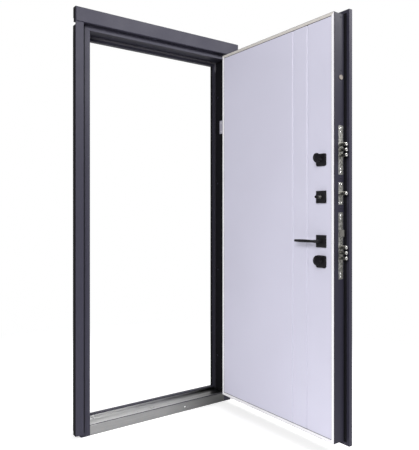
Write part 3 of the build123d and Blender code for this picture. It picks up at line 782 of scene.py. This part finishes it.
# Thumb turns: a round dished grip on a neck, standing a little above the spindle
def turn_grip(name, node, body, rosette):
    """Grip and neck of one thumb turn, in front of its rosette."""
    radius = 0.0218
    half_thickness = 0.004
    rise = 0.0070
    out = 0.0325
    centre = middle(rosette)
    grip_place = Vector((panel_low.x - out, centre.y, centre.z + rise))
    half_profile = [(0, 0.62), (0.74, 0.62), (0.84, 1), (0.94, 1), (1, 0.5)]
    disc = [(r * radius, -h * half_thickness) for r, h in half_profile]
    disc += [(r * radius, h * half_thickness) for r, h in reversed(half_profile)]
    neck = [(0.0, 0.0), (0.0100, 0.0), (0.0094, 0.002), (0.0072, 0.006), (0.0060, 0.012),
            (0.0052, 0.0165), (0, 0.0165)]
    bm = bmesh.new()
    add_lathe(bm, disc, facing(hinge_jamb_side, grip_place), steps=48)
    add_lathe(bm, neck, facing(inner_side, Vector((rosette_face_x, centre.y, centre.z))))
    piece = make_object(name, bm, black_metal, body)
    edges = piece.modifiers.new("crisp", "EDGE_SPLIT")
    edges.split_angle = radians(50)
    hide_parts(node)


turn_grip("upper_turn_grip", "upper_turn", "upper_turn", "upper_rosette")
turn_grip("lower_turn_grip", "lower_turn", "main_turn", "lower_rosette")

# Night knob: a satin collar and a ribbed black tip
night_centre = middle("night_rosette")
knob_face = Vector((rosette_face_x, night_centre.y, night_centre.z))
collar_profile = [(0, 0), (0.0076, 0), (0.0076, 0.002), (0.007, 0.0026), (0.007, 0.0145),
                  (0.0062, 0.0155), (0, 0.0155)]
tip_profile = [(0.0150, 0.0052), (0.0156, 0.0064), (0.0300, 0.0066), (0.0316, 0.0056)]
tip_ribs = 18
rib_valley = 0.92
collar, tip = bmesh.new(), bmesh.new()
add_lathe(collar, collar_profile, facing(inner_side, knob_face), steps=40)
tip_rings = []
for depth, size in tip_profile:
    ring = []
    for i in range(2 * tip_ribs):
        angle = pi * i / tip_ribs
        r = size * (1.0 if i % 2 else rib_valley)
        ring.append(tip.verts.new(knob_face + Vector((-depth, r * cos(angle), r * sin(angle)))))
    tip_rings.append(ring)
add_capped_rings(tip, tip_rings)
make_object("night_knob_collar", collar, latch_steel, "night_knob")
knob_tip = make_object("night_knob_tip", tip, black_metal, "night_knob", smooth=False)
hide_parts("night_knob")

# Outer side: a steel face and a keyway on each lock cylinder, the keyway a dark slab of painted shade
cylinder_profile = [(0.0080, -0.0002), (0.0078, 0.0003), (0.0062, 0.0003), (0.006, 0.0002), (0, 0.0002)]
keyway_sunk = 0.0002
keyway_proud = 0.0004
keyway_half_width = 0.0011
keyway_half_height = 0.0042
for node in ("upper_key_rosette", "lower_key_rosette"):
    centre = middle(node)
    face_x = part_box(node)[1].x
    low_y, high_y = centre.y - keyway_half_width, centre.y + keyway_half_width
    low_z, high_z = centre.z - keyway_half_height, centre.z + keyway_half_height
    cylinder, keyway = bmesh.new(), bmesh.new()
    add_lathe(cylinder, cylinder_profile, facing(outer_side, Vector((face_x, centre.y, centre.z))))
    add_block(keyway, (face_x - keyway_sunk, low_y, low_z), (face_x + keyway_proud, high_y, high_z))
    make_object(node + "_cylinder", cylinder, bright_steel, "leaf")
    make_object(node + "_keyway", keyway, recess_shade, "leaf", smooth=False)


def seen_white(tree):
    """1 for the rays that see a white background: camera, glossy and transmission rays."""
    path = tree.nodes.new("ShaderNodeLightPath")
    shown = path.outputs["Is Camera Ray"]
    for ray in ("Is Glossy Ray", "Is Transmission Ray"):
        shown = worked_out(tree, "MAXIMUM", shown, path.outputs[ray])
    return shown


# Floor: it keeps the object's shadow and fades into the white background away from it
floor_half = 14
floor_drop = 0.0005
floor_tone = 0.8
floor_glow = 0.53
fade_start = 2.25
fade_end = 3.2
floor = bmesh.new()
bmesh.ops.create_grid(floor, x_segments=1, y_segments=1, size=floor_half,
                      matrix=Matrix.Translation((0, 0, floor_z - floor_drop)))
floor_material = bpy.data.materials.new("floor")
floor_material.use_nodes = True
tree = floor_material.node_tree
tree.nodes.remove(tree.nodes["Principled BSDF"])
shown = seen_white(tree)
diffuse = tree.nodes.new("ShaderNodeBsdfDiffuse")
diffuse.inputs["Color"].default_value = (floor_tone, floor_tone, floor_tone, 1)
glow = tree.nodes.new("ShaderNodeEmission")
feed(tree, glow.inputs["Strength"], worked_out(tree, "MULTIPLY", shown, floor_glow))
near_floor = tree.nodes.new("ShaderNodeAddShader")
feed(tree, near_floor.inputs[0], diffuse.outputs[0])
feed(tree, near_floor.inputs[1], glow.outputs[0])
far_floor = tree.nodes.new("ShaderNodeEmission")
feed(tree, far_floor.inputs["Strength"], shown)
place = tree.nodes.new("ShaderNodeTexCoord")
far_off = tree.nodes.new("ShaderNodeVectorMath")
far_off.operation = "LENGTH"
feed(tree, far_off.inputs[0], place.outputs["Object"])
fade = spread(tree, far_off.outputs["Value"], 0.0, 1.0, fade_start, fade_end)
fade.node.interpolation_type = "SMOOTHSTEP"
blend = tree.nodes.new("ShaderNodeMixShader")
feed(tree, blend.inputs["Fac"], fade)
feed(tree, blend.inputs[1], near_floor.outputs[0])
feed(tree, blend.inputs[2], far_floor.outputs[0])
feed(tree, tree.nodes["Material Output"].inputs["Surface"], blend.outputs[0])
make_object("floor", floor, floor_material, None, smooth=False)

# World: white for the camera and for reflections, a soft fill for everything else
world_fill = 0.28
world = bpy.data.worlds.new("world")
bpy.context.scene.world = world
world.use_nodes = True
tree = world.node_tree
background = tree.nodes["Background"]
background.inputs["Color"].default_value = (1, 1, 1, 1)
feed(tree, background.inputs["Strength"], spread(tree, seen_white(tree), world_fill, 1.0, 0.0, 1.0))


def soft_lamp(name, place, target, size, power):
    """Rectangular lamp at a place, turned to a target; its size is (width, height)."""
    lamp = bpy.data.lights.new(name, "AREA")
    lamp.shape = "RECTANGLE"
    lamp.size, lamp.size_y = size
    lamp.energy = power
    thing = bpy.data.objects.new(name, lamp)
    thing.location = place
    thing.rotation_euler = (Vector(target) - Vector(place)).to_track_quat("-Z", "Y").to_euler()
    bpy.context.scene.collection.objects.link(thing)


soft_lamp("key", place=(-3.0, -2.9, 0.35), target=(0.2, -0.4, -0.9), size=(1.8, 2.0), power=160)
soft_lamp("gloss", place=(1.9, -3.8, 1.6), target=(-0.2, -0.1, -0.1), size=(3.0, 1.3), power=265)
soft_lamp("back", place=(1.9, 3.2, 3.2), target=(0.0, 0.0, -0.9), size=(2.2, 1.6), power=95)

# Camera: fitted to the photograph's corners, with its frame of 419 by 450 pixels
photo_height = 450
focal_pixels = 528.6
horizon_pixel = 215.5
camera_x = -1.4369
camera_y = -2.4122
camera_height = 1.0633
camera_turn = -0.6264
camera_data = bpy.data.cameras.new("camera")
camera_data.sensor_width = 36.0
camera_data.lens = focal_pixels / photo_height * camera_data.sensor_width
camera_data.shift_y = -(photo_height / 2 - horizon_pixel) / photo_height
camera = bpy.data.objects.new("camera", camera_data)
camera.location = (camera_x, camera_y, floor_z + camera_height)
camera.rotation_euler = (pi / 2, 0, camera_turn)
bpy.context.scene.collection.objects.link(camera)
bpy.context.scene.camera = camera

bpy.context.scene.view_settings.view_transform = "Standard"
